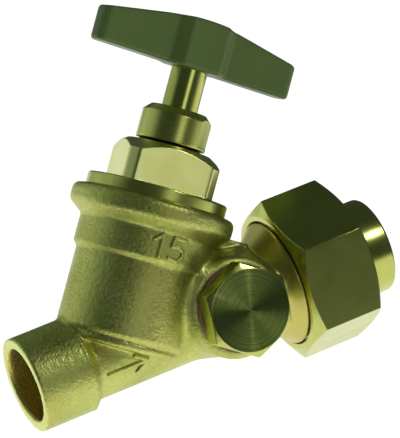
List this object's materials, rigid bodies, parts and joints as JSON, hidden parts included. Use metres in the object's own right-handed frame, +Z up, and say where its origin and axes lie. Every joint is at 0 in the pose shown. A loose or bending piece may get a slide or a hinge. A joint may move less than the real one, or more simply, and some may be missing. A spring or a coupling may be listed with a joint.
{
  "type": "isolating valve",
  "caption": "Brass slanted-seat isolating valve with a solder socket inlet, a union outlet, a rising spindle under a plastic T handle, and a drain plug with a washer on its side.",
  "frame": {"origin": "centre of the inlet socket's mouth, on the flow axis", "axes": "+X along the flow towards the outlet union, +Z up, with the stem leaning from +X towards +Z in the XZ plane, and the drain plug facing -Y"},
  "size_m": [0.0804, 0.0342, 0.0835],
  "materials": {
    "cast_brass": "shot-blasted casting, matte and slightly grainy",
    "turned_brass": "turned and milled, satin with fine tool marks",
    "polished_brass": "turned smooth, bright",
    "handle_plastic": "moulded, satin",
    "seal_rubber": "moulded",
    "seal_fibre": "pressed fibre sheet",
    "plug_fibre": "pressed fibre sheet",
    "packing": "pressed packing ring",
    "steel": "zinc plated"
  },
  "bodies": {
    "valve_group": {"body": "cast_brass", "bonnet": "turned_brass", "bonnet_gasket": "seal_fibre", "packing_washer": "turned_brass", "packing_ring_lower": "packing", "packing_ring_upper": "packing", "gland_ring": "turned_brass", "gland_nut": "turned_brass", "union_gasket": "seal_fibre"},
    "disc_group": {"disc_holder": "turned_brass", "disc_washer": "seal_rubber", "disc_nut": "turned_brass", "disc_clip": "steel"},
    "handle_group": {"spindle": "polished_brass", "handle": "handle_plastic", "handle_screw": "steel"},
    "tail_group": {"union_tail": "polished_brass"},
    "nut_group": {"union_nut": "turned_brass"},
    "seal_group": {"drain_plug_washer": "plug_fibre"},
    "plug_group": {"drain_plug": "turned_brass"}
  },
  "joints": [
    {"name": "disc_travel", "type": "slide", "parent": "valve_group", "child": "disc_group", "axis": [0.5736, 0, 0.8192], "range_m": [-0.006, 0]},
    {"name": "handle_turn", "type": "hinge", "parent": "disc_group", "child": "handle_group", "pos_m": [0.0203, 0, 0], "axis": [0.5736, 0, 0.8192], "range_deg": [-1080, 0]},
    {"name": "tail_travel", "type": "slide", "parent": "valve_group", "child": "tail_group", "axis": [1, 0, 0], "range_m": [0, 0.00907]},
    {"name": "nut_turn", "type": "hinge", "parent": "tail_group", "child": "nut_group", "pos_m": [0.0652, 0, 0], "axis": [1, 0, 0], "range_deg": [0, 1800]},
    {"name": "plug_travel", "type": "slide", "parent": "valve_group", "child": "seal_group", "axis": [0, -1, 0], "range_m": [0, 0.00668]},
    {"name": "plug_turn", "type": "hinge", "parent": "seal_group", "child": "plug_group", "pos_m": [0.04374, 0, 0.0009], "axis": [0, -1, 0], "range_deg": [0, 1800]}
  ],
  "couplings": [
    {"joint": "handle_turn", "follows": "disc_travel", "rad_per_m": 3141.6},
    {"joint": "nut_turn", "follows": "tail_travel", "rad_per_m": 3463.7},
    {"joint": "plug_turn", "follows": "plug_travel", "rad_per_m": 4699.5}
  ]
}
